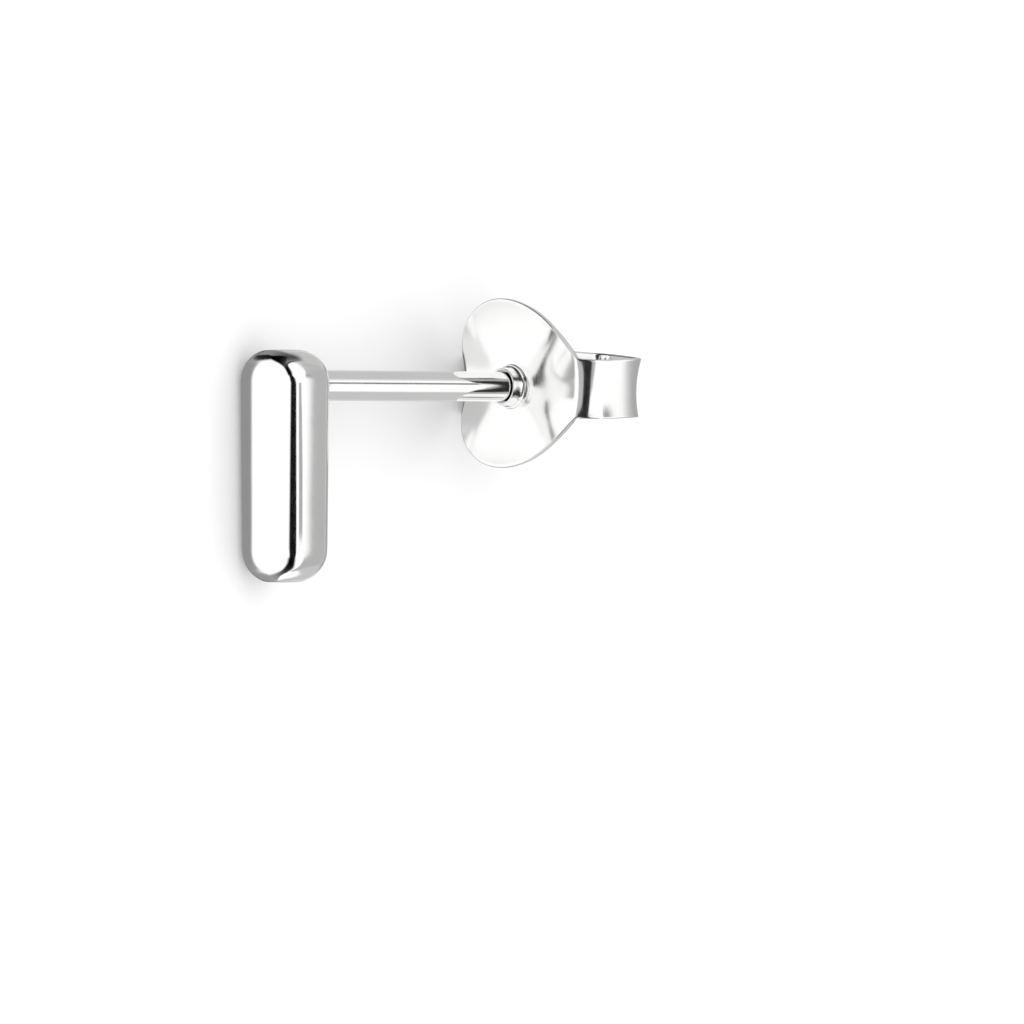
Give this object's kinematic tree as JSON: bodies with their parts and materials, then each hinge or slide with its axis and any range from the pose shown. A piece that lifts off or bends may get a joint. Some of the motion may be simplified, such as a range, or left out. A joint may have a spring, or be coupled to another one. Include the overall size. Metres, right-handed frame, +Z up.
{
  "type": "bar ear stud with butterfly clutch",
  "caption": "Bar ear stud: a rounded solid bar with a straight post soldered to its flat back, held behind the ear lobe by a butterfly clutch that slides along the post.",
  "frame": {"origin": "centre of the stud's box on the surface that it lies on", "axes": "+Y from the bar towards the clutch and the post's tip, level; +X along the bar towards its lower end; +Z up from the surface"},
  "size_m": [0.0076, 0.012, 0.0054],
  "materials": {
    "stud_silver": "mirror polished silver",
    "clutch_silver": "polished silver sheet"
  },
  "bodies": {
    "stud": {"bar_and_post": "stud_silver"},
    "clutch": {"butterfly_clutch": "clutch_silver"}
  },
  "joints": [
    {"name": "clutch_slide", "type": "slide", "parent": "stud", "child": "clutch", "axis": [0, 0.9858, 0.168], "range_m": [-0.00685, 0.0034]}
  ]
}
